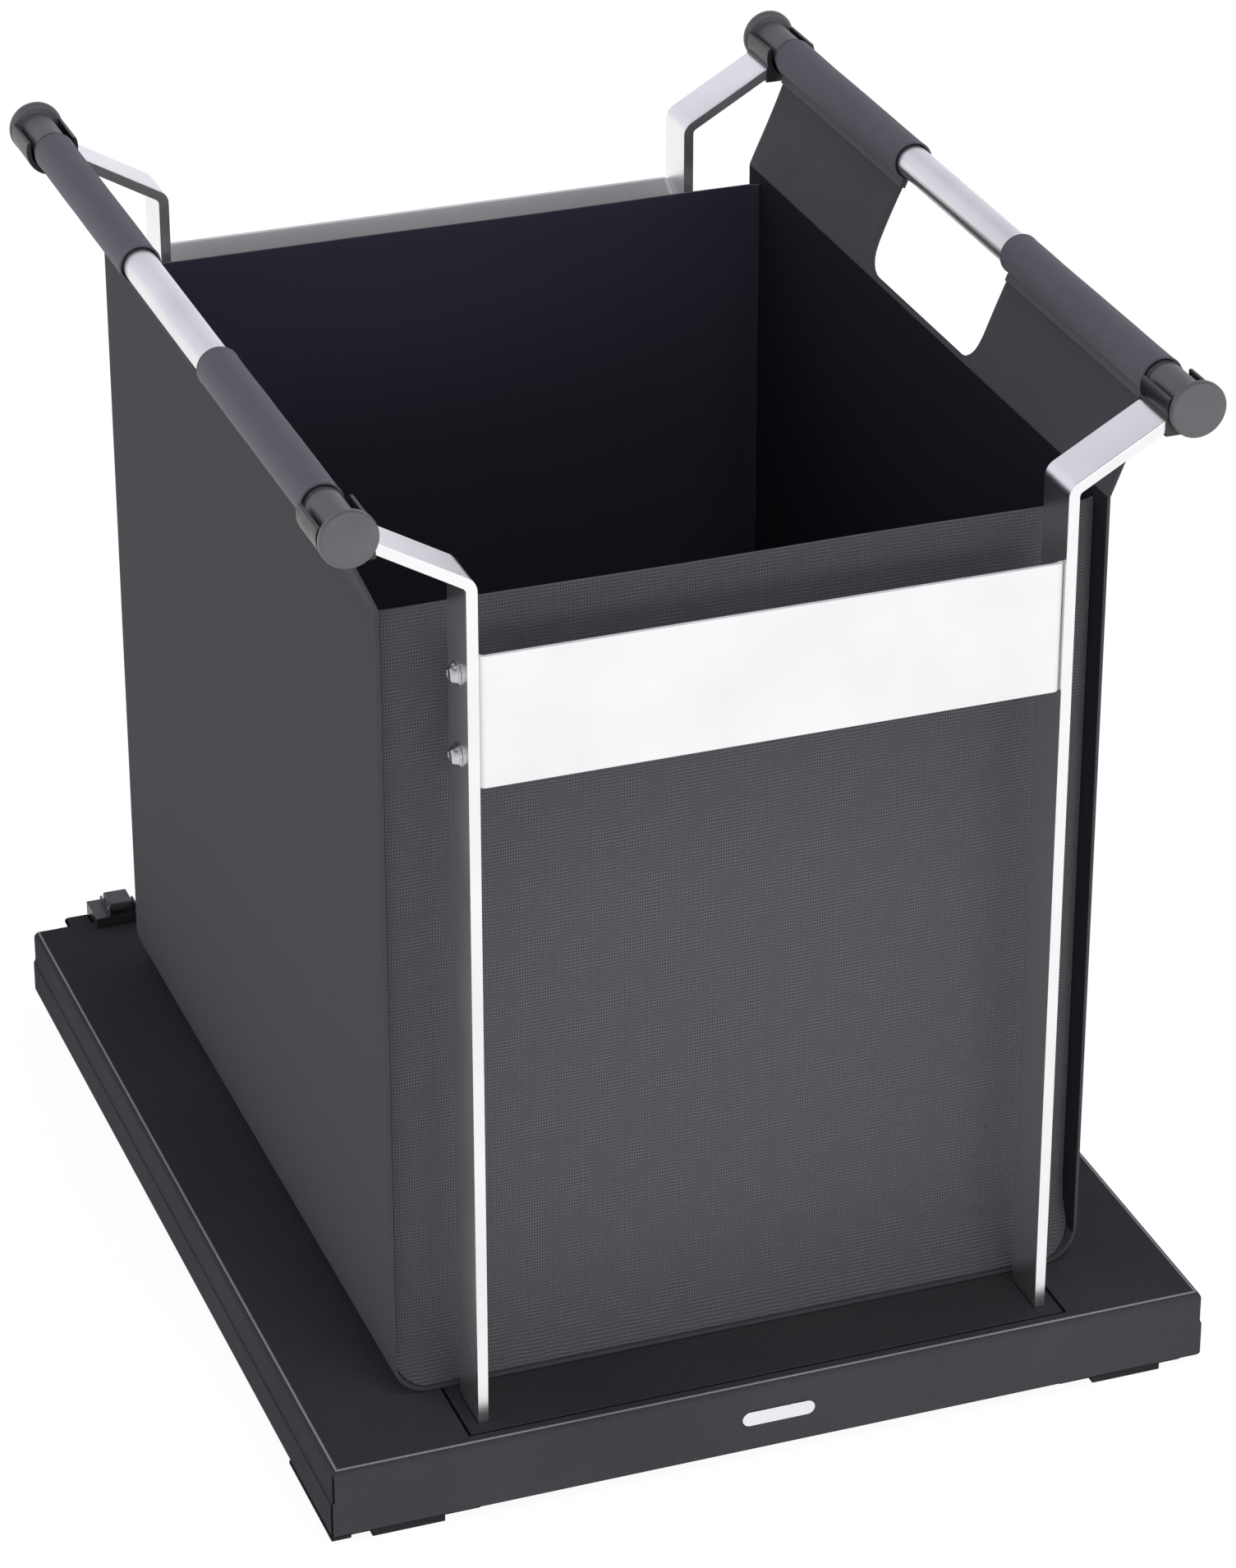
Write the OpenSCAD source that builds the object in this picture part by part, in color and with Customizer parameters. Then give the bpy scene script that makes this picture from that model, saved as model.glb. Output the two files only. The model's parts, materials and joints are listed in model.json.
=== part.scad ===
// Pull-out waste bag frame for a base cabinet.
// A low sheet-metal tray runs on ball-bearing slides. Four bent flat bars stand on it, tied by
// two cross bands, and their tips carry cradles. A fabric bag hangs from two handle tubes that
// lie in the cradles and lift out. X is across, -Y is the front, Z is up, and Z = 0 is the floor.

/* [Base tray] */
// Width over the tray's top
base_w = 408; // [400:1:430]
// Depth from the tray's front face to its rear edge
base_d = 502; // [495:1:530]
// Height of the tray's skirt
skirt_h = 33; // [33:0.5:40]
// Gap between the cabinet floor and the skirt
floor_gap = 5.5; // [5.5:0.5:8]
// Thickness of the tray's sheet metal
sheet_t = 1.5; // [1:0.1:1.5]
// Width of the bevel along the tray's top edges
rim_bevel = 1.8; // [0.5:0.1:3]
// How far the tray's bare tongues reach behind it
tail_l = 12; // [10:1:20]

/* [Posts and bands] */
// Width of the flat bar the posts are bent from
bar_w = 25; // [20:1:28]
// Thickness of the flat bar
bar_t = 5; // [4:0.5:5]
// Side of the tray to the outer face of a post
post_inset = 70.5; // [69:0.5:75]
// Front of the tray to the front edge of a post
post_setback = 15; // [13:0.5:16]
// Angle of the arms above the horizontal
arm_angle = 30; // [25:1:35]
// Inside radius of each bend in the bar
bend_r = 2.5; // [1.5:0.5:4]
// Height of a cross band
band_h = 59.5; // [45:0.5:70]
// Tray top to the lower edge of a cross band
band_rise = 307; // [250:1:320]
// Thickness of a cross band
band_t = 2; // [1.5:0.1:2.5]
// Distance between the two screws at each end of a band
band_screw_pitch = 37; // [30:1:40]

/* [Handle tubes] */
// Outside radius of a handle tube
tube_r = 7.75; // [7.5:0.05:8]
// Wall of a handle tube
tube_wall = 1.4; // [1:0.1:2]
// Side of the tray to a tube's axis
tube_inset = 21; // [20:0.5:22]
// Tray top to a tube's axis
tube_rise = 430; // [425:1:440]
// Radius of the flat end disc of a plug
disc_r = 12.5; // [12.3:0.1:13.5]
// Radius of the plug's neck, which lies in the cradle
neck_r = 8.8; // [8.6:0.1:8.9]
// Outside radius of a cradle
cradle_r = 12.3; // [12:0.1:12.6]

/* [Bag] */
// Side of the tray to the side of the bag
bag_inset = 42; // [40:0.5:46]
// Front of the tray to the front edge of the bag
bag_setback = 45; // [43:0.5:50]
// Setback of the end panels from the edges of the side strip
panel_recess = 11; // [5:0.5:20]
// Tray top to the fold between side and flap
fold_rise = 379; // [360:1:390]
// Tray top to the top of the end panels
panel_rise = 373.5; // [350:0.5:375]
// Thickness of the bag's cloth
cloth_t = 1.6; // [1:0.1:2]
// Outside radius of the bag's bottom corners
bag_corner_r = 17; // [8:1:25]
// Length of bare tube in each hand hole
grip_l = 120; // [90:1:140]

/* [Slides] */
// How far the tray pulls out
travel = 430; // [300:5:430]
// Length of the cabinet member of a slide
rail_l = 478; // [450:1:480]
// Diameter of the slide balls
ball_d = 3; // [2.5:0.1:3.1]
// Balls in each row
ball_count = 8; // [4:1:10]
// Radius of the floor screw holes
floor_hole_r = 2.25; // [2:0.05:2.5]

/* [Hidden] */
$fn = 64;
eps = 0.01;
tray_top = floor_gap + skirt_h;
badge_t = 0.6;
depth_all = badge_t + base_d + tail_l;
front_y = badge_t - depth_all / 2;
rear_y = front_y + base_d;
mid_y = front_y + base_d / 2;
left_x = -base_w / 2;

// Cover plates over the feet of the posts
cover_side = 6;
cover_front = 7.8;
cover_l = 43;
cover_gap = 0.4;
cover_tab_x = 150;

// Folded tray
jog_w = 1;
jog_z = floor_gap + skirt_h / 2;
notch_x0 = 14;
notch_x1 = 56;
tongue_x0 = 18;
tongue_x1 = 31;
tongue_r = 3;

// Posts
foot_l = 28;
foot_gap = 1.5;
foot_drop = sheet_t + foot_gap + bar_t / 2;
foot_under = tray_top - foot_drop - bar_t / 2;
bend_mid_r = bend_r + bar_t / 2;
chord_turn = 7.5;
post_mid_x = post_inset + bar_t / 2;
tip_x = tube_inset + 11.2;
tip_rise = tube_rise - 7.5;
arm_turn = 90 - arm_angle;
tip_turn = arm_angle + 10;
corner_rise = tip_rise - (post_mid_x - tip_x) * tan(arm_angle);
foot_cut = bend_mid_r;
arm_cut = bend_mid_r * tan(arm_turn / 2);
tip_cut = bend_mid_r * tan(tip_turn / 2);
post_run = corner_rise + foot_drop - foot_cut - arm_cut;
arm_run = (post_mid_x - tip_x) / cos(arm_angle) - arm_cut - tip_cut;
tip_run = 0.5;

// Band screws
screw_r = 2.5;
head_r = 4.5;
head_h = 3;
collar_r = 5.3;
collar_h = 1;
nut_across = 8;
band_end_r = 4.8;
nut_h = 4;

// Cradles and plugs
cradle_l = 26.5;
cradle_bore_r = neck_r + 1.1;
cradle_lip = 4.5;
cradle_y = post_setback + bar_w / 2;
grub_r = 1.5;
grub_l = 1.6;
disc_t = 4.5;
disc_gap = 1;
disc_y = cradle_y - cradle_l / 2 - disc_gap - disc_t;
neck_end_y = 43;
saddle_r = neck_r - 0.5;
saddle_l = disc_gap + cradle_l + 1;
spigot_l = 15;
tube_l = base_d - 2 * neck_end_y;

// Bag
sleeve_gap = 0.35;
sleeve_r = tube_r + sleeve_gap + 1.2;
bag_lift_gap = 0.5;
bag_floor = tray_top + bag_lift_gap;
bag_w = base_w - 2 * bag_inset;
bag_d = base_d - 2 * bag_setback;
fold_z = tray_top + fold_rise;
tube_z = tray_top + tube_rise;
flap_dx = bag_inset + cloth_t / 2 - tube_inset;
flap_dz = tube_rise - fold_rise;
flap_tilt = atan2(flap_dx, flap_dz);
flap_l = norm([flap_dx, flap_dz]) - sleeve_r + 1;
hole_corner_r = 12;
hole_rise = 2;

// Slides: nested channels, listed as [web x, lip end x, half height, thickness]
rail_z0 = 5;
rail_y0 = 12;
rail_half = 14.8;
rail_mid_z = rail_z0 + rail_half;
outer_rail = [22, 33, rail_half, 1.4];
mid_rail_size = [24.8, 34, 10.2, 1.3];
inner_rail = [27.6, 34.6, 5.7, 1.4];
outer_row = 11.8;
inner_row = 7.3;
outer_cage = [23.8, 32, outer_row, 29];
inner_cage = [26.5, 33, inner_row, 31];
cage_t = 0.6;
cage_l = 180;
cage_y0 = rail_y0 + travel / 4 + 40;
hanger_t = 2;
hanger_w = 13.4;

// Floor feet and ties
pad_x0 = 18;
pad_x1 = 51;
pad_t = 3.1;
plate_x0 = 8;
plate_x1 = 67;
plate_t = 1.9;
foot_y0 = 3;
foot_d = 72;
tie_w = 20;
bumper_r = 4;
bumper_x = 45.5;
bumper_z = 11;
floor_hole_x = 59;

// Rear catches
catch_x0 = 31;
catch_x1 = 52;
catch_h = 5.5;
catch_front = 8;
lever_x0 = 39.2;
lever_x1 = 50.8;
lever_l = 14;
lever_r = 2.4;
lever_pin_r = 1.25;
lever_y = base_d - 4;
lever_z = tray_top + catch_h + lever_r + 0.5;

// Badge
badge_w = 34;
badge_h = 7;

// ---- Helpers -------------------------------------------------------------------------------

// Places children given from the tray's left side, its front face and the floor
module from_corner() {
    translate([left_x, front_y, 0]) children();
}

// The same on the right side, as a mirror image
module side(right = false) {
    mirror([right ? 1 : 0, 0, 0]) from_corner() children();
}

// Turns what is made at the front round to the rear, keeping its side
module end(rear = false) {
    translate([0, rear ? mid_y : 0, 0])
        mirror([0, rear ? 1 : 0, 0])
            translate([0, rear ? -mid_y : 0, 0]) children();
}

// One face of a bent flat bar in side view, at an offset to the left of the bar's middle line.
// Each step is a straight length and then a turn to the left, and a bend is drawn in short chords.
function bar_face(steps, off, i = 0, p = [0, 0], h = 90) =
    i == len(steps) ? [] :
    let (
        turn = steps[i][1],
        s = sign(turn),
        q = p + steps[i][0] * [cos(h), sin(h)],
        centre = q + s * bend_mid_r * [-sin(h), cos(h)],
        chords = max(1, ceil(abs(turn) / chord_turn)),
        arc = [for (k = [0 : chords])
                  let (a = h + turn * k / chords)
                      centre + (off - s * bend_mid_r) * [-sin(a), cos(a)]],
        next = centre - s * bend_mid_r * [-sin(h + turn), cos(h + turn)]
    )
    concat(turn == 0 ? [arc[0]] : arc, bar_face(steps, off, i + 1, next, h + turn));

// The side view of a bent flat bar that starts at the origin and runs along +Y
module bar_path(steps) {
    left = bar_face(steps, bar_t / 2);
    right = bar_face(steps, -bar_t / 2);
    n = len(right);
    polygon(concat(
        [[bar_t / 2, 0], [-bar_t / 2, 0]], left, [for (i = [1 : n]) right[n - i]]
    ));
}

// A channel open towards +X, nested about the slide's centre line
module channel(size, y0, length, web_first = true) {
    x0 = size[0];
    x1 = size[1];
    half = size[2];
    t = size[3];
    web_x = web_first ? x0 : x1 - t;
    translate([web_x, y0, rail_mid_z - half]) cube([t, length, 2 * half]);
    for (z = [rail_mid_z - half, rail_mid_z + half - t])
        translate([x0, y0, z]) cube([x1 - x0, length, t]);
}

// A rounded upright plate in the XZ plane with square top corners
module panel_outline(w, h, r) {
    translate([r, 0]) square([w - 2 * r, h]);
    translate([0, r]) square([w, h - r]);
    for (x = [r, w - r])
        translate([x, r]) circle(r);
}

// ---- Tray ----------------------------------------------------------------------------------

module tray_outer() {
    b = rim_bevel;
    intersection() {
        translate([0, rear_y, 0]) rotate([90, 0, 0])
            linear_extrude(base_d)
                polygon([
                    [left_x - jog_w, floor_gap], [-left_x + jog_w, floor_gap],
                    [-left_x + jog_w, jog_z], [-left_x, jog_z + jog_w],
                    [-left_x, tray_top - b], [-left_x - b, tray_top],
                    [left_x + b, tray_top], [left_x, tray_top - b],
                    [left_x, jog_z + jog_w], [left_x - jog_w, jog_z]
                ]);
        translate([left_x - 2 * jog_w, 0, 0]) rotate([90, 0, 90])
            linear_extrude(base_w + 4 * jog_w)
                polygon([
                    [front_y, floor_gap], [rear_y, floor_gap], [rear_y, tray_top],
                    [front_y + b, tray_top], [front_y, tray_top - b]
                ]);
    }
}

module cover_opening(gap = 0) {
    x0 = post_inset - cover_side + gap;
    translate([x0, cover_front + gap, tray_top - 2 * sheet_t])
        cube([base_w - 2 * x0, cover_l - 2 * gap, 3 * sheet_t]);
}

module base_tray() {
    color("#35353a") {
        difference() {
            tray_outer();
            from_corner()
                translate([sheet_t, sheet_t, 0])
                    cube([base_w - 2 * sheet_t, base_d - 2 * sheet_t, tray_top - sheet_t]);
            from_corner() cover_opening();
            end(true) from_corner() cover_opening();
            for (right = [false, true])
                side(right)
                    translate([notch_x0, base_d - 2 * sheet_t, 0])
                        cube([notch_x1 - notch_x0, 3 * sheet_t, tray_top - sheet_t]);
        }
        for (right = [false, true])
            side(right) rear_tongue();
    }
}

module rear_tongue() {
    w = tongue_x1 - tongue_x0;
    l = tail_l - 3;
    translate([tongue_x0, base_d, tray_top - sheet_t])
        linear_extrude(sheet_t) {
            square([w, l - tongue_r]);
            translate([tongue_r, 0]) square([w - tongue_r, l]);
            translate([tongue_r, l - tongue_r]) circle(tongue_r);
        }
}

module post_cover() {
    color("#2b2b30") {
        difference() {
            intersection() {
                from_corner() cover_opening(cover_gap);
                translate([left_x, front_y, tray_top - sheet_t])
                    cube([base_w, base_d, sheet_t]);
            }
            for (right = [false, true])
                side(right)
                    translate([post_inset - 0.3, post_setback - 0.3, 0])
                        cube([bar_t + 0.6, bar_w + 0.6, 2 * tray_top]);
        }
        for (right = [false, true])
            side(right)
                translate([cover_tab_x, cover_front + 10, foot_under])
                    cube([sheet_t, cover_l - 20, bar_t + foot_gap + sheet_t / 2]);
    }
}

module cross_member() {
    plate_z = foot_under - 3;
    color("#3c3c40") {
        difference() {
            translate([left_x + 60, front_y + 10, plate_z])
                cube([base_w - 120, 38, 3]);
            foot_screw_places() cylinder(h = 60, r = screw_r, center = true);
        }
        for (right = [false, true])
            side(right) {
                translate([58, 10, plate_z]) cube([2, 38, tray_top - sheet_t - plate_z]);
                translate([52, 10, tray_top - sheet_t - 2]) cube([6, 38, 2]);
            }
    }
}

module foot_screw_places() {
    for (right = [false, true], y = [-6, 6])
        side(right)
            translate([post_mid_x + 20, cradle_y + y, foot_under])
                children();
}

module front_badge() {
    color("#c9cacd")
        translate([-badge_w / 2, front_y - badge_t, floor_gap + 13])
            translate([badge_h / 2, badge_t, badge_h / 2]) rotate([90, 0, 0])
                linear_extrude(badge_t) {
                    translate([0, -badge_h / 2]) square([badge_w - badge_h, badge_h]);
                    for (x = [0, badge_w - badge_h])
                        translate([x, 0]) circle(badge_h / 2);
                }
}

// ---- Posts, bands and their fasteners --------------------------------------------------------

module post_solid() {
    steps = [[foot_l, -90], [post_run, arm_turn], [arm_run, tip_turn], [tip_run, 0]];
    translate([post_mid_x + foot_cut + foot_l, post_setback + bar_w, tray_top - foot_drop])
        rotate([90, 0, 0])
            linear_extrude(bar_w)
                rotate(90) bar_path(steps);
}

module post() {
    color("#cfcfd6")
        from_corner()
            difference() {
                post_solid();
                for (z = [-0.5, 0.5])
                    translate([post_mid_x, cradle_y, band_screw_z(z)]) rotate([0, 90, 0])
                        cylinder(h = 3 * bar_t, r = screw_r, center = true);
                for (y = [-6, 6])
                    translate([post_mid_x + 20, cradle_y + y, tray_top - foot_drop])
                        cylinder(h = 3 * bar_t, r = screw_r, center = true);
            }
}

function band_screw_z(k) = tray_top + band_rise + band_h / 2 + k * band_screw_pitch;

module band() {
    inner_x = post_inset + bar_t;
    r = band_t + 1;
    color("#ecebee")
        difference() {
            intersection() {
                translate([0, 0, tray_top + band_rise])
                    linear_extrude(band_h)
                        difference() {
                            translate([left_x + inner_x, front_y + post_setback + 1])
                                band_outline(base_w - 2 * inner_x, bar_w - 2, r);
                            translate([left_x + inner_x + band_t, front_y + post_setback + 1 + band_t])
                                band_outline(base_w - 2 * (inner_x + band_t), bar_w, r - band_t);
                        }
                band_side_shape(r);
            }
            for (right = [false, true], k = [-0.5, 0.5])
                side(right)
                    translate([inner_x, cradle_y, band_screw_z(k)]) rotate([0, 90, 0])
                        cylinder(h = 4 * band_t, r = screw_r, center = true);
        }
}

// Behind its face the band narrows to round ends at its screws, so nothing shows above the face
module band_side_shape(face) {
    translate([left_x, 0, 0])
        rotate([90, 0, 90])
            linear_extrude(base_w)
                hull() {
                    translate([front_y + post_setback, tray_top + band_rise]) square([1 + face, band_h]);
                    for (k = [-0.5, 0.5])
                        translate([front_y + cradle_y, band_screw_z(k)]) circle(band_end_r);
                }
}

// A rectangle with round corners at its front only
module band_outline(w, d, r) {
    translate([0, r]) square([w, d - r]);
    translate([r, 0]) square([w - 2 * r, d]);
    for (x = [r, w - r])
        translate([x, r]) circle(r);
}

// Half the outline of a domed screw head that stands on Y = 0
module dome_outline() {
    polygon(concat(
        [[0, 0]], [for (a = [0 : 10 : 50]) [head_r * cos(a), head_h * sin(a) / sin(50)]],
        [[0, head_h]]
    ));
}

// A socket screw along X: its collar and domed head stand outside the post, its shank goes inwards
module band_screws() {
    grip = bar_t + band_t + nut_h + 1;
    color("#d8d9dc")
        for (right = [false, true], k = [-0.5, 0.5])
            side(right)
                translate([post_inset, cradle_y, band_screw_z(k)]) rotate([0, 90, 0])
                    difference() {
                        union() {
                            cylinder(h = grip, r = screw_r);
                            translate([0, 0, -collar_h]) cylinder(h = collar_h, r = collar_r);
                            translate([0, 0, -collar_h])
                                rotate([180, 0, 0]) rotate_extrude() dome_outline();
                        }
                        translate([0, 0, -collar_h - head_h - eps])
                            cylinder(h = head_h - 1, d = 4.2, $fn = 6);
                    }
}

module band_nuts() {
    color("#b9babd")
        for (right = [false, true], k = [-0.5, 0.5])
            side(right)
                translate([post_inset + bar_t + band_t, cradle_y, band_screw_z(k)])
                    rotate([0, 90, 0])
                        difference() {
                            cylinder(h = nut_h, d = nut_across / cos(30), $fn = 6);
                            translate([0, 0, -1]) cylinder(h = nut_h + 2, r = screw_r);
                        }
}

module post_foot_screws() {
    color("#9a9b9f")
        for (rear = [false, true])
            end(rear)
                foot_screw_places() {
                    translate([0, 0, -6]) cylinder(h = 6 + bar_t, r = screw_r);
                    translate([0, 0, -6.5]) cylinder(h = 3.5, d = nut_across / cos(30), $fn = 6);
                }
}

// ---- Cradles, tubes and plugs ----------------------------------------------------------------

module at_tube_axis() {
    from_corner() translate([tube_inset, 0, tube_z]) children();
}

// A round bar along Y from y0, given from the tray's front
module along_y(y0, length, r) {
    translate([0, y0 + length, 0]) rotate([90, 0, 0]) cylinder(h = length, r = r);
}

// A U-shaped saddle whose lower lug holds the tip of the post's bar
module cradle() {
    color("#2f2f33")
        difference() {
            at_tube_axis() {
                y0 = cradle_y - cradle_l / 2;
                difference() {
                    union() {
                        along_y(y0, cradle_l, cradle_r);
                        translate([0, y0, -cradle_r]) cube([cradle_r, cradle_l, cradle_r - 4]);
                    }
                    along_y(y0 - 1, cradle_l + 2, cradle_bore_r);
                    translate([-cradle_bore_r, y0 - 1, 0])
                        cube([2 * cradle_bore_r, cradle_l + 2, 2 * cradle_r]);
                    translate([-2 * cradle_r, y0 - 1, cradle_lip])
                        cube([4 * cradle_r, cradle_l + 2, 2 * cradle_r]);
                }
            }
            from_corner() post_solid();
            from_corner() cradle_screw_axis() translate([0, 0, -1]) cylinder(h = 5, r = grub_r);
        }
}

// The lower end of a grub screw that clamps the bar's tip in the cradle's lug
module cradle_screw_axis() {
    translate([tip_x - 1, cradle_y, tube_z - cradle_r]) children();
}

module cradle_screws() {
    color("#1f1f22")
        for (right = [false, true], rear = [false, true])
            end(rear)
                side(right)
                    cradle_screw_axis()
                        difference() {
                            cylinder(h = grub_l, r = grub_r);
                            translate([0, 0, -1]) cylinder(h = 2, d = 1.6, $fn = 6);
                        }
}

module tube() {
    color("#c4c4cb")
        at_tube_axis()
            difference() {
                along_y(neck_end_y, tube_l, tube_r);
                along_y(neck_end_y - 1, tube_l + 2, tube_r - tube_wall);
            }
}

module plug() {
    groove = 0.8;
    color("#4a4a4e")
        at_tube_axis()
            translate([0, disc_y, 0]) rotate([-90, 0, 0])
                rotate_extrude()
                    polygon([
                        [0, 0], [disc_r - groove, 0], [disc_r, groove],
                        [disc_r, disc_t - 1.4], [disc_r - 1.4, disc_t],
                        [saddle_r, disc_t], [saddle_r, disc_t + saddle_l],
                        [neck_r, disc_t + saddle_l], [neck_r, neck_end_y - disc_y - 1],
                        [neck_r - 0.8, neck_end_y - disc_y],
                        [tube_r - tube_wall, neck_end_y - disc_y],
                        [tube_r - tube_wall, neck_end_y - disc_y + spigot_l - 1],
                        [tube_r - tube_wall - 1, neck_end_y - disc_y + spigot_l],
                        [0, neck_end_y - disc_y + spigot_l]
                    ]);
}

// ---- Bag -------------------------------------------------------------------------------------

module bag_side() {
    color("#4a4a4f")
        from_corner()
            translate([bag_inset, bag_setback, bag_floor + bag_corner_r])
                cube([cloth_t, bag_d, fold_z - bag_floor - bag_corner_r]);
}

// The flap leans out from the fold to the sleeves, and the hand hole opens between them
module bag_flap() {
    sleeve_l = (bag_d - grip_l) / 2;
    color("#55555b")
        difference() {
            union() {
                from_corner()
                    translate([bag_inset + cloth_t / 2, bag_setback, fold_z])
                        rotate([0, -flap_tilt, 0])
                            difference() {
                                translate([-cloth_t / 2, 0, 0]) cube([cloth_t, bag_d, flap_l]);
                                translate([-cloth_t, sleeve_l, hole_rise]) hand_hole();
                            }
                at_tube_axis()
                    for (y = [bag_setback, bag_setback + sleeve_l + grip_l])
                        along_y(y, sleeve_l, sleeve_r);
            }
            at_tube_axis() along_y(0, base_d, tube_r + sleeve_gap);
            translate([left_x, front_y, 0]) cube([base_w, base_d, fold_z]);
        }
}

module hand_hole() {
    r = hole_corner_r;
    rotate([90, 0, 90])
        linear_extrude(2 * cloth_t)
            panel_outline(grip_l, 2 * flap_l, r);
}

module bag_bottom() {
    r = bag_corner_r;
    color("#4a4a4f")
        from_corner() {
            translate([bag_inset + r, bag_setback, bag_floor])
                cube([bag_w - 2 * r, bag_d, cloth_t]);
            for (x = [bag_inset + r, bag_inset + bag_w - r])
                translate([x, bag_setback, bag_floor + r]) bag_corner(x > base_w / 2);
        }
}

module bag_corner(right) {
    r = bag_corner_r;
    translate([0, bag_d, 0]) rotate([90, 0, 0])
        rotate([0, 0, right ? 270 : 180])
            rotate_extrude(angle = 90)
                translate([r - cloth_t, 0]) square([cloth_t, bag_d]);
}

module bag_panel() {
    w = bag_w - 2 * cloth_t;
    color("#444448")
        from_corner()
            translate([bag_inset + cloth_t, bag_setback + panel_recess + cloth_t,
                       bag_floor + cloth_t])
                rotate([90, 0, 0])
                    linear_extrude(cloth_t)
                        panel_outline(w, panel_rise - bag_lift_gap - cloth_t,
                                      bag_corner_r - cloth_t);
}

// ---- Floor feet, ties and slides ---------------------------------------------------------------

module floor_foot(tongue = false, bumper_lug = false) {
    color("#3a3a3e") {
        from_corner()
            difference() {
                union() {
                    translate([pad_x0, foot_y0, 0])
                        cube([pad_x1 - pad_x0, foot_d, pad_t]);
                    translate([plate_x0, foot_y0, pad_t])
                        cube([plate_x1 - plate_x0, foot_d, plate_t]);
                    if (tongue)
                        translate([-jog_w, foot_y0 - 2, pad_t])
                            cube([plate_x0 + jog_w, foot_d - 10, plate_t]);
                    if (bumper_lug)
                        translate([pad_x1 - 11, foot_y0 + 5, rail_z0]) cube([11, 3, 12]);
                }
                translate([floor_hole_x, foot_y0 + foot_d / 2, -1])
                    cylinder(h = 10, r = floor_hole_r);
            }
    }
}

module tie() {
    color("#3a3a3e")
        translate([left_x + pad_x1, front_y + foot_y0 + (foot_d - tie_w) / 2, 0])
            cube([base_w - 2 * pad_x1, tie_w, pad_t]);
}

module closing_bumpers() {
    color("#141416")
        for (right = [false, true])
            side(right)
                translate([bumper_x, sheet_t + 0.4, bumper_z])
                    along_y(0, foot_y0 + 5 - sheet_t - 0.4, bumper_r);
}

module floor_rail() {
    color("#b4b6ba") from_corner() channel(outer_rail, rail_y0, rail_l);
}

module mid_rail() {
    color("#c0c2c6") from_corner() channel(mid_rail_size, rail_y0 + 2, rail_l - 4);
}

module tray_rail() {
    color("#c0c2c6") from_corner() channel(inner_rail, rail_y0 + 4, rail_l - 8, false);
}

module rail_hanger() {
    x0 = inner_rail[1];
    z0 = rail_mid_z - inner_rail[2];
    z1 = tray_top - sheet_t;
    color("#8f9196")
        from_corner() {
            translate([x0, rail_y0 + 8, z0]) cube([hanger_t, rail_l - 16, z1 - z0]);
            translate([x0, rail_y0 + 8, z1 - hanger_t]) cube([hanger_w, rail_l - 16, hanger_t]);
        }
}

// A ball cage: a bent strip, and two rows of balls held in its holes
module ball_cage(cage) {
    row = cage[2];
    ball_x = cage[3];
    pitch = cage_l / ball_count;
    color("#d9c27a")
        from_corner()
            difference() {
                channel([cage[0], cage[1], row + cage_t / 2, cage_t], cage_y0, cage_l);
                for (i = [0 : ball_count - 1], s = [-1, 1])
                    translate([ball_x, cage_y0 + (i + 0.5) * pitch, rail_mid_z + s * row])
                        cylinder(h = 3 * cage_t, r = ball_d / 2 + 0.1, center = true);
            }
    color("#e6e7ea")
        from_corner()
            for (i = [0 : ball_count - 1], s = [-1, 1])
                translate([ball_x, cage_y0 + (i + 0.5) * pitch, rail_mid_z + s * row])
                    sphere(d = ball_d);
}

// Rivets through the hanger and the tray rail, clear of the middle rail
module slide_rivets() {
    color("#a2a4a8")
        for (right = [false, true], y = [60, 180, 320, 440])
            side(right)
                translate([inner_rail[1] + hanger_t, y, rail_mid_z]) rotate([0, 90, 0])
                    cylinder(h = 1.4, r = 3);
}

// ---- Rear catches --------------------------------------------------------------------------------

module catch() {
    w = catch_x1 - catch_x0;
    ear_t = 1;
    color("#1c1c1f")
        from_corner()
            difference() {
                union() {
                    translate([catch_x0, base_d - catch_front, tray_top])
                        cube([w, catch_front, catch_h]);
                    translate([catch_x0, base_d, tray_top - 3])
                        cube([w, tail_l, catch_h + 3]);
                    for (x = [lever_x0 - ear_t - 0.2, lever_x1 + 0.2])
                        translate([x, base_d - catch_front, tray_top + catch_h])
                            cube([ear_t, catch_front, 2 * lever_r + 0.8]);
                    translate([lever_x0 - ear_t - 0.2, base_d, tray_top + catch_h])
                        cube([ear_t, tail_l, 2]);
                }
                lever_axis(lever_pin_r, 3 * w);
            }
}

module lever_axis(r, length) {
    translate([(lever_x0 + lever_x1) / 2, lever_y, lever_z]) rotate([0, 90, 0])
        cylinder(h = length, r = r, center = true);
}

// A thumb lever that turns on its pin, with a rounded nose and tail
module lever() {
    w = lever_x1 - lever_x0;
    color("#6a6a74")
        from_corner()
            difference() {
                union() {
                    lever_axis(lever_r, w);
                    translate([lever_x0, lever_y, lever_z - lever_r + 0.6])
                        cube([w, lever_l - 2, 2 * lever_r - 0.6]);
                    translate([lever_x0, lever_y + lever_l - 2, lever_z + 0.3])
                        rotate([0, 90, 0]) cylinder(h = w, r = lever_r - 0.3);
                }
                lever_axis(lever_pin_r + 0.05, 3 * w);
            }
}

module lever_pins() {
    color("#a2a4a8")
        for (right = [false, true])
            side(right) lever_axis(lever_pin_r, lever_x1 - lever_x0 + 2.4);
}

// ---- The parts -------------------------------------------------------------------------------------

module flip() {
    mirror([1, 0, 0]) children();
}

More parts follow.
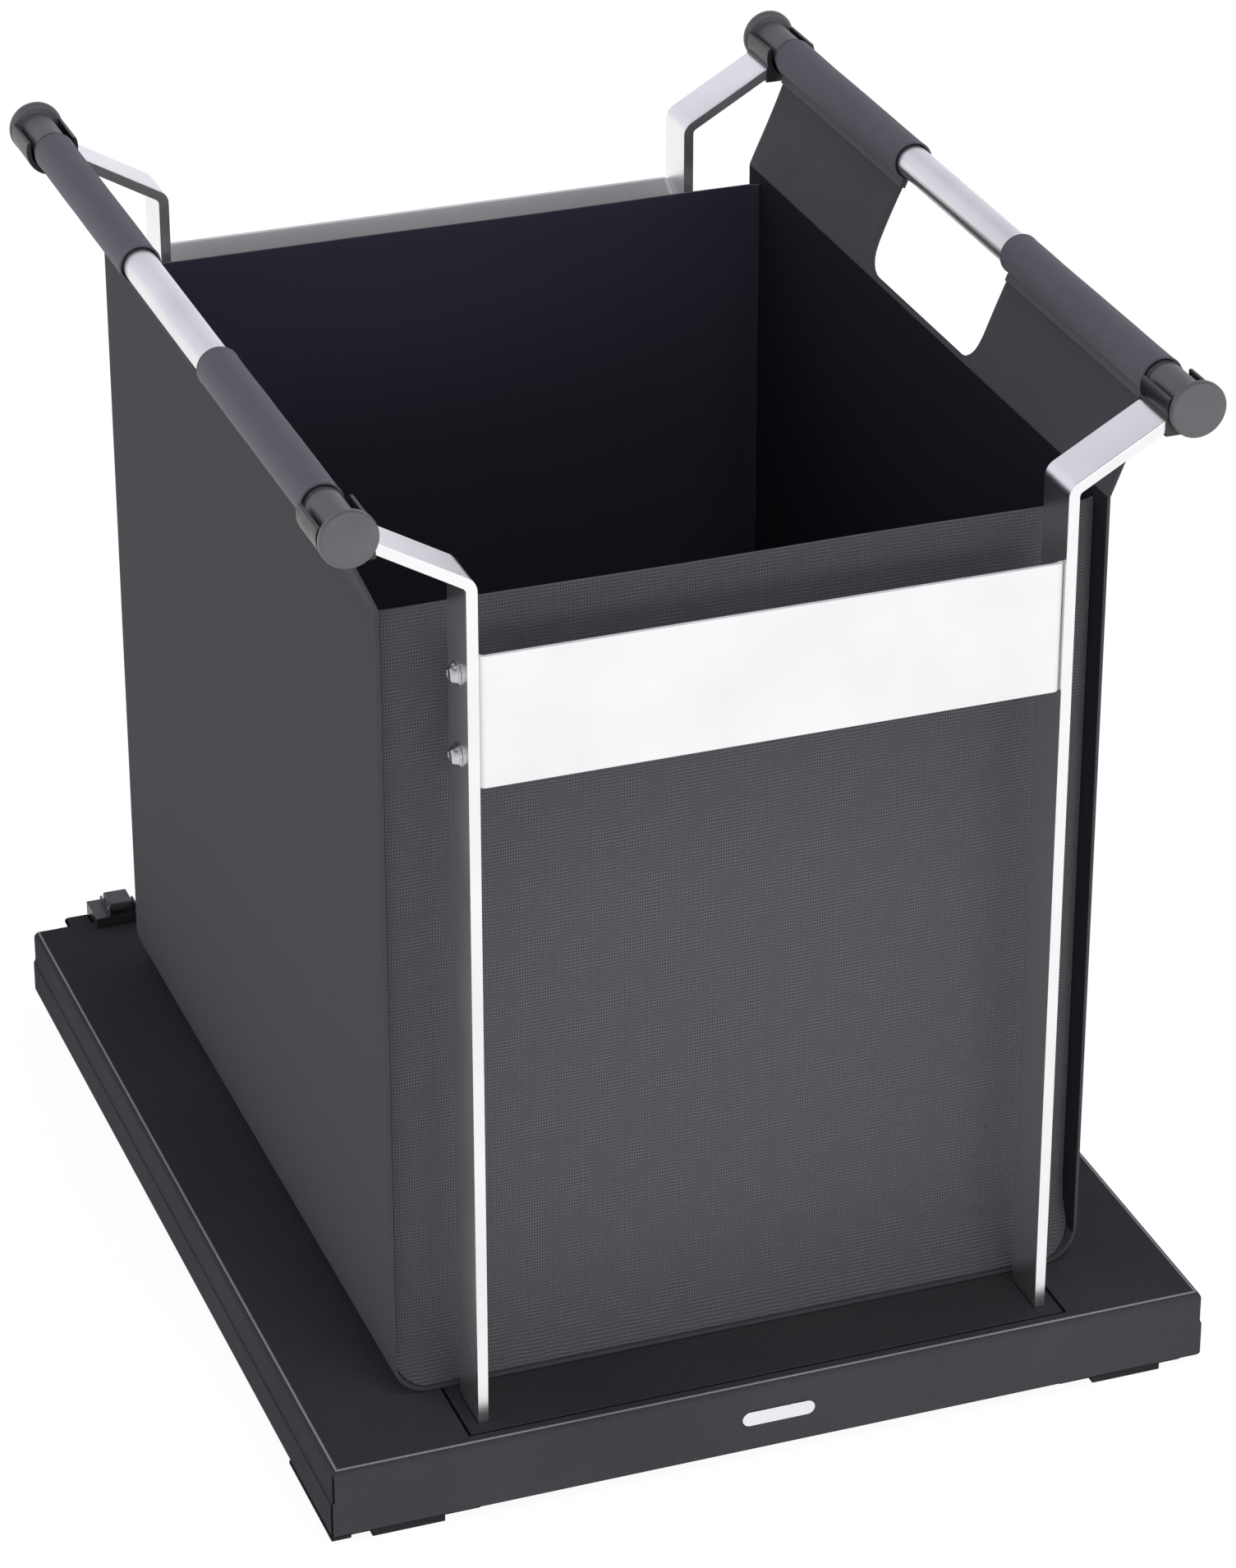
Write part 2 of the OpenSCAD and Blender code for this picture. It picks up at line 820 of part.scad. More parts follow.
base_tray();
post_cover();  // front_cover
end(true) post_cover();  // rear_cover
cross_member();  // front_cross_member
end(true) cross_member();  // rear_cross_member
post();  // post_front_left
flip() post();  // post_front_right
end(true) post();  // post_rear_left
end(true) flip() post();  // post_rear_right
band();  // front_band
end(true) band();  // rear_band
band_screws();  // front_band_screws
end(true) band_screws();  // rear_band_screws
band_nuts();  // front_band_nuts
end(true) band_nuts();  // rear_band_nuts
post_foot_screws();
front_badge();
cradle();  // cradle_front_left
flip() cradle();  // cradle_front_right
end(true) cradle();  // cradle_rear_left
end(true) flip() cradle();  // cradle_rear_right
cradle_screws();
tube();  // tube_left
flip() tube();  // tube_right
plug();  // plug_front_left
flip() plug();  // plug_front_right
end(true) plug();  // plug_rear_left
end(true) flip() plug();  // plug_rear_right
bag_side();  // bag_side_left
flip() bag_side();  // bag_side_right
bag_flap();  // bag_flap_left
flip() bag_flap();  // bag_flap_right
bag_bottom();
bag_panel();  // bag_front_panel
end(true) bag_panel();  // bag_back_panel
floor_foot(true, true);  // floor_foot_front_left
flip() floor_foot(false, true);  // floor_foot_front_right
end(true) floor_foot();  // floor_foot_rear_left
end(true) flip() floor_foot();  // floor_foot_rear_right
tie();  // front_tie
end(true) tie();  // rear_tie
closing_bumpers();
floor_rail();  // floor_rail_left
flip() floor_rail();  // floor_rail_right
mid_rail();  // mid_rail_left
flip() mid_rail();  // mid_rail_right
tray_rail();  // tray_rail_left
flip() tray_rail();  // tray_rail_right
rail_hanger();  // rail_hanger_left
flip() rail_hanger();  // rail_hanger_right
ball_cage(outer_cage);  // outer_cage_left
flip() ball_cage(outer_cage);  // outer_cage_right
ball_cage(inner_cage);  // inner_cage_left
flip() ball_cage(inner_cage);  // inner_cage_right
slide_rivets();
catch();  // catch_left
flip() catch();  // catch_right
lever();  // lever_left
flip() lever();  // lever_right
lever_pins();
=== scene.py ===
import json
import math

import bmesh
import bpy
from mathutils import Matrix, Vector
from mathutils import noise

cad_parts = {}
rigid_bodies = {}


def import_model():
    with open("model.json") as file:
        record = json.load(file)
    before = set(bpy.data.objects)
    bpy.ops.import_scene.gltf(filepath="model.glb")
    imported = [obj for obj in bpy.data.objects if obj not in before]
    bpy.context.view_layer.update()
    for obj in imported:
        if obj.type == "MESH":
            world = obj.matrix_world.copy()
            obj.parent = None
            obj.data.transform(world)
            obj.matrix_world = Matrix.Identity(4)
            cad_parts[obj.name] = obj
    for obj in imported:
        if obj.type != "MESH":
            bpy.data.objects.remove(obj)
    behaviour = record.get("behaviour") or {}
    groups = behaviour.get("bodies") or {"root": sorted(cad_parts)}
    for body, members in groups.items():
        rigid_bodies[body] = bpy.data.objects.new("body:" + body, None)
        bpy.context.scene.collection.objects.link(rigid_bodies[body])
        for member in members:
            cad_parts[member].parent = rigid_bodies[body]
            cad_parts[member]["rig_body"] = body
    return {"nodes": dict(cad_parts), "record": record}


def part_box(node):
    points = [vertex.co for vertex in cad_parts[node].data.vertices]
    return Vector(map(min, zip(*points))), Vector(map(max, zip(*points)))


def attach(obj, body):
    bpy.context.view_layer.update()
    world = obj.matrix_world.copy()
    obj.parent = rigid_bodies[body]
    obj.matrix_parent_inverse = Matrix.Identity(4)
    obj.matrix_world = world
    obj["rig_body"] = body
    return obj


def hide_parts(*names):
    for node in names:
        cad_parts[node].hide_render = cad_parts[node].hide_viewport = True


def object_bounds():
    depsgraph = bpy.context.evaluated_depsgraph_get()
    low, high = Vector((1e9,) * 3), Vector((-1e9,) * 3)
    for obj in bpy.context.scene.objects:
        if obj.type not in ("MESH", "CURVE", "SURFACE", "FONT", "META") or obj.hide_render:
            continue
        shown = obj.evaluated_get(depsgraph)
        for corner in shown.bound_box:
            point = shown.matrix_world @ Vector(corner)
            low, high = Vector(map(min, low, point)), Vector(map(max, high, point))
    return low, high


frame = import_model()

cad_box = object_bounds()
NODES = frame["nodes"]
SIDES = ("left", "right")
ENDS = ("front", "rear")

# ---- Places, all from the frame, in metres --------------------------------------------------

SIDE_LOW, SIDE_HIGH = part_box("bag_side_left")
BOTTOM_LOW, BOTTOM_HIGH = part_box("bag_bottom")
PANEL_LOW, PANEL_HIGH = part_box("bag_front_panel")
TUBE_LOW, TUBE_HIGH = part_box("tube_right")
TRAY_LOW, TRAY_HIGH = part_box("base_tray")
SLEEVE_LOW, SLEEVE_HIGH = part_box("bag_flap_right")

CLOTH = SIDE_HIGH.x - SIDE_LOW.x
BAG_X = -(SIDE_LOW.x + SIDE_HIGH.x) / 2
BAG_FRONT, BAG_BACK = SIDE_LOW.y, SIDE_HIGH.y
BAG_MIDDLE = (BAG_FRONT + BAG_BACK) / 2
BAG_FLOOR = BOTTOM_LOW.z + CLOTH / 2
FOLD_Z = SIDE_HIGH.z
CORNER_R = SIDE_LOW.z - BAG_FLOOR
PANEL_TOP = PANEL_HIGH.z
PANEL_INSET = (PANEL_LOW.y + PANEL_HIGH.y) / 2 - BAG_FRONT
TUBE_X = (TUBE_LOW.x + TUBE_HIGH.x) / 2
TUBE_Z = (TUBE_LOW.z + TUBE_HIGH.z) / 2

# Hand hole and sleeves, which follow the sewing pattern of the CAD flap
GRIP = 0.120
HOLE_RISE = 0.002
HOLE_CORNER = 0.012
SLEEVE_CLOTH = 0.0009
SLEEVE_MID_R = SLEEVE_HIGH.x - TUBE_X - SLEEVE_CLOTH / 2
SLEEVE_TAIL = 0.0042

FLAP_RUN = Vector((TUBE_X - BAG_X, TUBE_Z - FOLD_Z))
FLAP_TILT = math.atan2(FLAP_RUN.x, FLAP_RUN.y)
FLAP_L = FLAP_RUN.length - SLEEVE_MID_R


# ---- Node trees -----------------------------------------------------------------------------

class Finish:
    """One procedural material and short calls that add its nodes."""

    def __init__(self, name, roughness=0.5, metallic=0.0, **sockets):
        self.material = bpy.data.materials.new(name)
        self.material.use_nodes = True
        self.tree = self.material.node_tree
        self.shader = self.tree.nodes["Principled BSDF"]
        self.shader.inputs["Roughness"].default_value = roughness
        self.shader.inputs["Metallic"].default_value = metallic
        for socket, value in sockets.items():
            self.shader.inputs[socket.replace("_", " ")].default_value = value

    def add(self, kind, inputs=None, **settings):
        node = self.tree.nodes.new("ShaderNode" + kind)
        for key, value in settings.items():
            setattr(node, key, value)
        for key, value in (inputs or {}).items():
            if isinstance(value, bpy.types.NodeSocket):
                self.tree.links.new(value, node.inputs[key])
            else:
                node.inputs[key].default_value = value
        return node

    def math(self, operation, a, b=0.0, c=0.0):
        return self.add("Math", {0: a, 1: b, 2: c}, operation=operation).outputs[0]

    def place(self):
        return self.add("TexCoord").outputs["Object"]

    def stretched(self, vector, scale):
        return self.add("Mapping", {"Vector": vector, "Scale": scale}).outputs[0]

    def noise(self, vector, scale, detail=2.0, roughness=0.5):
        inputs = {"Vector": vector, "Scale": scale, "Detail": detail, "Roughness": roughness}
        return self.add("TexNoise", inputs).outputs["Fac"]

    def between(self, value, low, high, start=0.0, end=1.0):
        """Value from start..end brought to low..high."""
        inputs = {0: value, 1: start, 2: end, 3: low, 4: high}
        return self.add("MapRange", inputs).outputs[0]

    def mix(self, factor, a, b):
        node = self.add("Mix", data_type="RGBA")
        for socket, value in ((node.inputs[0], factor), (node.inputs[6], a), (node.inputs[7], b)):
            if isinstance(value, bpy.types.NodeSocket):
                self.tree.links.new(value, socket)
            else:
                socket.default_value = value
        return node.outputs[2]

    def colour(self, value):
        self.tree.links.new(value, self.shader.inputs["Base Color"])

    def rough(self, value):
        self.tree.links.new(value, self.shader.inputs["Roughness"])

    def bump(self, height, distance, strength=1.0):
        inputs = {"Height": height, "Distance": distance, "Strength": strength}
        bump = self.add("Bump", inputs)
        self.tree.links.new(bump.outputs[0], self.shader.inputs["Normal"])


def grey(level, blue=0.0):
    """An RGBA grey in linear light, with this share more of blue than of red and green."""
    return (level, level, level * (1 + blue), 1.0)


# ---- Materials ------------------------------------------------------------------------------

def satin_paint(name, level, roughness=0.42, wear=0.0):
    """Dark powder coat: fine orange peel, faint cloudiness, and dust on it."""
    f = Finish(name, roughness=roughness, Specular_IOR_Level=0.0)
    p = f.place()
    cloud = f.noise(p, 9.0, 3.0)
    speck = f.noise(p, 900.0, 1.0)
    base = f.mix(f.between(cloud, 0.0, 1.0, 0.3, 0.7), grey(level, 0.10), grey(level * 1.25, 0.06))
    f.colour(f.mix(f.between(speck, 0.0, 0.35 + wear, 0.55, 0.8), base, grey(level * 1.9, 0.05)))
    f.rough(f.between(cloud, roughness - 0.05, roughness + 0.06, 0.3, 0.7))
    f.bump(f.noise(p, 1500.0, 2.0), 0.00006, 0.5)
    return f.material


def satin_metal(name, level, roughness, grain=(40.0, 40.0, 1600.0), blue=0.03, metallic=1.0):
    """Anodised metal: a fine grain and faint smudges in its gloss."""
    f = Finish(name, roughness=roughness, metallic=metallic)
    p = f.place()
    line = f.noise(f.stretched(p, grain), 1.0, 2.0)
    smudge = f.noise(p, 22.0, 3.0)
    f.colour(f.mix(f.between(smudge, 0.0, 1.0, 0.35, 0.7), grey(level, blue), grey(level * 0.94, blue)))
    rub = f.math("MULTIPLY", f.between(line, 0.95, 1.05), f.between(smudge, 0.92, 1.1, 0.3, 0.7))
    f.rough(f.math("MULTIPLY", rub, roughness))
    return f.material


def zinc(name, level=0.55, roughness=0.38):
    """Zinc plate: soft spangle and faint bluish cast."""
    f = Finish(name, roughness=roughness, metallic=1.0)
    p = f.place()
    cells = f.add("TexVoronoi", {"Vector": p, "Scale": 160.0}).outputs["Color"]
    spangle = f.add("SeparateColor", {0: cells}).outputs[0]
    f.colour(f.mix(spangle, grey(level * 0.88, 0.05), grey(level, 0.09)))
    f.rough(f.between(spangle, roughness - 0.06, roughness + 0.08))
    f.bump(f.noise(p, 500.0), 0.00003, 0.4)
    return f.material


def moulded(name, level, roughness=0.42, spark=400.0, blue=0.05):
    """Injection-moulded plastic with a spark-eroded grain."""
    f = Finish(name, roughness=roughness)
    p = f.place()
    cells = f.add("TexVoronoi", {"Vector": p, "Scale": spark}).outputs["Distance"]
    cloud = f.noise(p, 60.0, 3.0)
    f.colour(f.mix(f.between(cloud, 0.0, 1.0, 0.3, 0.7), grey(level * 0.9, blue), grey(level * 1.12, blue)))
    f.rough(f.between(cloud, roughness - 0.04, roughness + 0.07, 0.3, 0.7))
    f.bump(f.math("ADD", cells, f.noise(p, 1400.0)), 0.00004, 0.45)
    return f.material


def rubber(name):
    """Dull black rubber with a pale bloom."""
    f = Finish(name, roughness=0.78)
    p = f.place()
    bloom = f.noise(p, 180.0, 4.0)
    f.colour(f.mix(bloom, grey(0.010), grey(0.026)))
    f.bump(bloom, 0.0001, 0.6)
    return f.material


# How far apart a cloth's threads are along its warp and weft, in metres
FINE = (0.0006, 0.0006)
COARSE = (0.00115, 0.00155)


def woven(name, level, threads, contrast, relief, slubs=False, blue=0.07, sheen=0.15):
    """Plain weave of threads this far apart. The mesh's cloth_uv, in metres, places each thread."""
    warp, weft = threads
    mean_height = 0.42
    f = Finish(name, roughness=0.9, Specular_IOR_Level=sheen, Sheen_Weight=sheen, Sheen_Roughness=0.5)
    uv = f.add("Attribute", attribute_name="cloth_uv").outputs["Vector"]
    wander = f.add("TexNoise", {"Vector": uv, "Scale": 120.0, "Detail": 1.0}).outputs["Color"]
    shift = f.add("VectorMath", {0: wander, 1: (0.5, 0.5, 0.5)}, operation="SUBTRACT").outputs[0]
    small = f.add("VectorMath", {0: shift, "Scale": warp * 0.9}, operation="SCALE").outputs[0]
    at = f.add("VectorMath", {0: uv, 1: small}, operation="ADD").outputs[0]
    split = f.add("SeparateXYZ", {0: at})
    across = f.math("SINE", f.math("MULTIPLY", split.outputs["X"], math.pi / warp))
    along = f.math("SINE", f.math("MULTIPLY", split.outputs["Y"], math.pi / weft))
    x, y = f.math("ABSOLUTE", across), f.math("ABSOLUTE", along)
    warp_over = f.math("GREATER_THAN", f.math("MULTIPLY", across, along), 0.0)
    weft_over = f.math("SUBTRACT", 1.0, warp_over)
    warp_up = f.math("MULTIPLY", f.math("MULTIPLY", x, f.between(y, 0.5, 1.0)), warp_over)
    weft_up = f.math("MULTIPLY", f.math("MULTIPLY", y, f.between(x, 0.5, 1.0)), weft_over)
    thread = f.math("ADD", warp_up, weft_up)
    fuzz = f.noise(uv, 2500.0, 3.0, 0.7)
    strength = f.between(f.noise(uv, 90.0, 2.0), 0.35, 1.0, 0.35, 0.6)
    height = f.math("MULTIPLY_ADD", f.math("SUBTRACT", thread, mean_height), strength, mean_height)
    shade = f.math("MULTIPLY_ADD", fuzz, 0.3, f.math("MULTIPLY", height, 0.8))
    dark, light = grey(level * (1 - contrast), blue), grey(level * (1 + contrast), blue)
    colour = f.mix(f.between(shade, 0.0, 1.0, 0.1, 0.9), dark, light)
    if slubs:
        spots = f.add("TexVoronoi", {"Vector": uv, "Scale": 16.0}).outputs["Distance"]
        colour = f.mix(f.between(spots, 0.75, 0.0, 0.012, 0.03), colour, grey(level * 0.3, blue))
    f.colour(colour)
    f.bump(f.math("ADD", height, f.math("MULTIPLY", fuzz, 0.2)), warp * 0.2 * relief, 0.7)
    return f.material


def pale_floor():
    """A white studio sweep that glows, so that shadows hardly show on it."""
    f = Finish("studio_floor", roughness=0.9, Emission_Color=(1, 1, 1, 1), Emission_Strength=0.93)
    cloud = f.noise(f.place(), 3.0)
    f.colour(f.mix(cloud, grey(0.14), grey(0.15)))
    return f.material


MATERIALS = {
    "tray_paint": satin_paint("tray_paint", 0.049),
    "cover_paint": satin_paint("cover_paint", 0.041),
    "frame_steel": satin_paint("frame_steel", 0.024, roughness=0.5, wear=0.2),
    # painted highlight: a light grey copy of the tray paint for the faces along the tray's top bends
    "tray_painted_highlight": satin_paint("tray_painted_highlight", 0.28),
    # painted shade: a near-black copy of the tray paint for the tray's corner seams and gaps
    "tray_painted_shade": satin_paint("tray_painted_shade", 0.008),
    "bar_metal": satin_metal("bar_metal", 0.89, 0.29, blue=0.0),
    "band_metal": satin_metal("band_metal", 0.86, 0.5, grain=(30.0, 40.0, 1600.0), blue=-0.02,
                              metallic=0.2),
    "tube_metal": satin_metal("tube_metal", 0.82, 0.34, grain=(500.0, 8.0, 500.0), blue=0.0),
    "bright_fastener": satin_metal("bright_fastener", 0.55, 0.22, grain=(900.0, 60.0, 60.0)),
    "badge_metal": satin_metal("badge_metal", 0.82, 0.3),
    "zinc_steel": zinc("zinc_steel"),
    "cradle_plastic": moulded("cradle_plastic", 0.02, 0.36),
    "plug_plastic": moulded("plug_plastic", 0.10, 0.42),
    "cage_plastic": moulded("cage_plastic", 0.5, 0.5),
    "lever_plastic": moulded("lever_plastic", 0.03, 0.36),
    "bumper_rubber": rubber("bumper_rubber"),
    "bag_cloth": woven("bag_cloth", 0.063, FINE, contrast=0.10, relief=0.3, sheen=0.04),
    # painted light: a lighter copy of the bag cloth for the flaps' inner faces
    "flap_cloth_painted_light": woven("flap_cloth_painted_light", 0.072, FINE, contrast=0.10, relief=0.3),
    "panel_cloth": woven("panel_cloth", 0.078, COARSE, contrast=0.75, relief=1.4, slubs=True),
    "sleeve_cloth": woven("sleeve_cloth", 0.113, FINE, contrast=0.35, relief=0.8, blue=0.15),
    # painted shade: a darker copy of the cloth for the panels' inner faces, where the inside of the bag
    # lies in shade
    "panel_lining_painted_shade": woven("panel_lining_painted_shade", 0.029, FINE, contrast=0.10, relief=0.3, blue=0.55),
    # painted shade: a near-black copy of the cloth for the strip's inner walls, bottom and side lips
    "strip_lining_painted_shade": woven("strip_lining_painted_shade", 0.018, FINE, contrast=0.10, relief=0.3, blue=0.45, sheen=0.02),
}
SLOT_OF = {s["node"]: s["material_slot"] for s in frame["record"]["subparts"]}


# ---- Mesh helpers ---------------------------------------------------------------------------

def make_object(name, mesh, slot, body, replaced=(), finish=None):
    """A piece that rides on a body and stands for the CAD nodes it replaces."""
    piece = bpy.data.objects.new(name, mesh)
    bpy.context.scene.collection.objects.link(piece)
    mesh.materials.clear()
    mesh.materials.append(MATERIALS[finish or slot])
    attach(piece, body)
    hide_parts(*replaced)
    return piece


def applied(piece):
    """Puts the result of a piece's modifiers in its mesh."""
    graph = bpy.context.evaluated_depsgraph_get()
    mesh = bpy.data.meshes.new_from_object(piece.evaluated_get(graph))
    piece.modifiers.clear()
    old, piece.data = piece.data, mesh
    bpy.data.meshes.remove(old)
    return piece


def soften(piece, width, segments=2, angle=30.0):
    """Rounds every edge sharper than angle, and keeps the large faces flat."""
    bevel = piece.modifiers.new("edges", "BEVEL")
    bevel.width = width
    bevel.segments = segments
    bevel.limit_method = "ANGLE"
    bevel.angle_limit = math.radians(angle)
    bevel.use_clamp_overlap = False
    weighted = piece.modifiers.new("normals", "WEIGHTED_NORMAL")
    weighted.keep_sharp = True
    for face in piece.data.polygons:
        face.use_smooth = True
    return applied(piece)


def rounded_node(node, width, segments=2, finish=None):
    """A copy of a CAD node with its flat faces joined and its edges eased, which stands for it."""
    mesh = NODES[node].data.copy()
    mesh.name = node + "_eased"
    solid = bmesh.new()
    solid.from_mesh(mesh)
    bmesh.ops.remove_doubles(solid, verts=solid.verts, dist=2e-6)
    flat = math.radians(0.8)
    bmesh.ops.dissolve_limit(solid, angle_limit=flat, verts=solid.verts, edges=solid.edges)
    solid.to_mesh(mesh)
    solid.free()
    body = NODES[node]["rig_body"]
    piece = make_object(node + "_eased", mesh, SLOT_OF[node], body, [node], finish)
    return soften(piece, width, segments)


# ---- Cloth ----------------------------------------------------------------------------------

def grid_mesh(name, rows, flat):
    """A mesh from rows of points with their flat places on the cloth. A missing point is None."""
    mesh = bmesh.new()
    layer = mesh.verts.layers.float_vector.new("cloth_uv")
    made = []
    for points, places in zip(rows, flat):
        line = []
        for point, place in zip(points, places):
            vert = mesh.verts.new(point) if point is not None else None
            if vert is not None:
                vert[layer] = Vector((place[0], place[1], 0))
            line.append(vert)
        made.append(line)
    for low, high in zip(made, made[1:]):
        for a, b, c, d in zip(low, low[1:], high[1:], high):
            if None not in (a, b, c, d):
                mesh.faces.new((a, b, c, d)).smooth = True
    loose = [v for v in mesh.verts if not v.link_faces]
    bmesh.ops.delete(mesh, geom=loose, context="VERTS")
    data = bpy.data.meshes.new(name)
    mesh.to_mesh(data)
    mesh.free()
    return data


def thicken(piece, thickness, edge=0.0003):
    """Gives a one-sided sheet its thickness and a soft cut edge."""
    solid = piece.modifiers.new("thickness", "SOLIDIFY")
    solid.thickness = thickness
    solid.offset = 0.0
    bevel = piece.modifiers.new("cut edge", "BEVEL")
    bevel.width = edge
    bevel.segments = 2
    bevel.limit_method = "ANGLE"
    bevel.angle_limit = math.radians(60)
    bevel.use_clamp_overlap = False
    return applied(piece)


def line_inside(piece, inward, finish, chosen):
    """Gives the chosen faces that look inwards a finish of their own, but not the cut edges; here these are
    darker or lighter copies of the cloth, painted shade and painted light.
    """
    mesh = piece.data
    mesh.materials.append(MATERIALS[finish])
    for face in mesh.polygons:
        aim = inward(face.center)
        cut_edge = abs(face.normal.y) >= 0.5 and abs(aim.y) <= 0.5
        if not cut_edge and chosen(face.center) and face.normal.dot(aim) > 0.2:
            face.material_index = len(mesh.materials) - 1


def spread(stops, steps):
    """Numbers from the first stop to the last, with so many even steps between neighbours."""
    out = [stops[0]]
    for low, high, count in zip(stops, stops[1:], steps):
        out += [low + (high - low) * (k + 1) / count for k in range(count)]
    return out


def ripple(u, v, seed, size=0.11):
    """A slow unevenness from -1 to 1."""
    return noise.noise(Vector((u / size, v / size, seed)))


def hole_edge(y):
    """How high the flap reaches at y inside the hand hole."""
    into = GRIP / 2 - abs(y - BAG_MIDDLE)
    if into >= HOLE_CORNER:
        return HOLE_RISE
    across = HOLE_CORNER - into
    return HOLE_RISE + HOLE_CORNER - math.sqrt(HOLE_CORNER**2 - across**2)


def wrap_columns():
    """Places along the bag's depth, closer together round the corners of the hand hole."""
    edge, turn = GRIP / 2, GRIP / 2 - HOLE_CORNER
    hole_start = BAG_MIDDLE - edge
    first = spread([BAG_FRONT, BAG_FRONT + 0.012, hole_start], [4, 24])
    corner = [hole_start + HOLE_CORNER * (1 - math.cos(math.radians(a))) for a in range(15, 91, 15)]
    middle = spread([BAG_MIDDLE - turn, BAG_MIDDLE + turn], [14])[1:-1]
    mirrored = [2 * BAG_MIDDLE - y for y in (first + corner)[::-1]]
    return first + corner + middle + mirrored


def wrap_profile():
    """Half of the bag's strip in XZ from the middle of its bottom up to the fold: (x, z, length)."""
    flat_half = BAG_X - CORNER_R
    line = [(x, BAG_FLOOR) for x in spread([0.0, flat_half], [16])]
    for k in range(1, 9):
        a = math.radians(90 * k / 8)
        line.append((flat_half + CORNER_R * math.sin(a), BAG_FLOOR + CORNER_R * (1 - math.cos(a))))
    line += [(BAG_X, z) for z in spread([BAG_FLOOR + CORNER_R, FOLD_Z - 0.004, FOLD_Z], [40, 2])[1:]]
    lengths = [0.0]
    for (x0, z0), (x1, z1) in zip(line, line[1:]):
        lengths.append(lengths[-1] + math.hypot(x1 - x0, z1 - z0))
    return [(x, z, s) for (x, z), s in zip(line, lengths)]


def side_give(y, z, seed):
    """How far the side hangs out of its plane: a slack belly, held at both seams and at the fold."""
    depth = (y - BAG_FRONT) / (BAG_BACK - BAG_FRONT)
    height = (z - BAG_FLOOR) / (FOLD_Z - BAG_FLOOR)
    held = min(1.0, 4.0 * depth * (1 - depth)) * math.sin(math.pi * min(max(height, 0.0), 1.0))
    return held * (0.0016 * ripple(y, z, seed, 0.16) + 0.0004 * ripple(y, z, seed + 5, 0.05))


def flap_crease(y, up, side):
    """Soft pull lines in a flap: a slight belly, and one faint crease near its back end."""
    part = min(up / FLAP_L, 1.0)
    free = math.sin(math.pi * part)
    belly = 0.0012 * free * ripple(y, up, 3.0 if side == "left" else 8.0, 0.07)
    line = BAG_BACK - 0.040 - 0.020 * math.sin(math.pi * part * 0.8)
    crease = 0.0007 * math.exp(-(((y - line) / 0.006) ** 2)) * free
    return belly + crease


def bag_wrap():
    """The one strip that makes both flaps, both sides and the bottom."""
    columns = wrap_columns()
    half = wrap_profile()
    fold_length = half[-1][2]
    corner_top = HOLE_RISE + HOLE_CORNER
    low_steps, high_steps = 8, 10

    def flap_rows(sign):
        """Rows from the fold up to the sleeve, with nothing in the hand hole."""
        side = "left" if sign < 0 else "right"
        out, places = [], []
        run = Vector((sign * math.sin(FLAP_TILT), math.cos(FLAP_TILT)))
        normal = Vector((sign * math.cos(FLAP_TILT), -math.sin(FLAP_TILT)))
        for k in range(1, low_steps + high_steps + 1):
            line, place = [], []
            for y in columns:
                in_hole = abs(y - BAG_MIDDLE) < GRIP / 2 - 1e-6
                if k <= low_steps:
                    up = (hole_edge(y) if in_hole else corner_top) * k / low_steps
                else:
                    up = corner_top + (FLAP_L - corner_top) * (k - low_steps) / high_steps
                if in_hole and k > low_steps:
                    line.append(None)
                else:
                    give = flap_crease(y, up, side)
                    x = sign * BAG_X + run.x * up + normal.x * give
                    line.append((x, y, FOLD_Z + run.y * up + normal.y * give))
                place.append((y, fold_length + up))
            out.append(line)
            places.append(place)
        return out, places

    def body_rows(sign):
        """Rows from the middle of the bottom up to the fold."""
        seed = 1.5 if sign < 0 else 6.5
        out, places = [], []
        for x, z, length in half:
            on_side = x > BAG_X - 1e-6
            gives = [side_give(y, z, seed) if on_side else 0.0 for y in columns]
            out.append([(sign * (x + give), y, z) for y, give in zip(columns, gives)])
            places.append([(y, length) for y in columns])
        return out, places

    def half_strip(sign):
        body, body_flat = body_rows(sign)
        flap, flap_flat = flap_rows(sign)
        return body + flap, body_flat + flap_flat

    left, left_flat = half_strip(-1)
    right, right_flat = half_strip(1)
    rows = left[:0:-1] + right
    flat = [[(u, -v) for u, v in line] for line in left_flat[:0:-1]] + right_flat
    mesh = grid_mesh("bag_wrap", rows, flat)
    replaced = ["bag_side_left", "bag_side_right", "bag_bottom", "bag_flap_left", "bag_flap_right"]
    piece = thicken(make_object("bag_wrap", mesh, "bag_cloth", "bag", replaced), CLOTH)

    def inward(p):
        return Vector((-p.x, 0, 0.6 * FOLD_Z - p.z)).normalized()

    def between_panels(p):
        return abs(p.y - BAG_MIDDLE) < BAG_MIDDLE - BAG_FRONT - PANEL_INSET

    # Inward faces of the walls, the bottom and the side lips get the near-black cloth: painted shade
    def in_painted_shade(p):
        return p.z < FOLD_Z and (between_panels(p) or p.z > BAG_FLOOR + 0.8 * CORNER_R)

    line_inside(piece, inward, "strip_lining_painted_shade", in_painted_shade)
    # The flaps' inward faces get the lighter cloth: painted light
    line_inside(piece, inward, "flap_cloth_painted_light", lambda p: p.z >= FOLD_Z)
    return piece


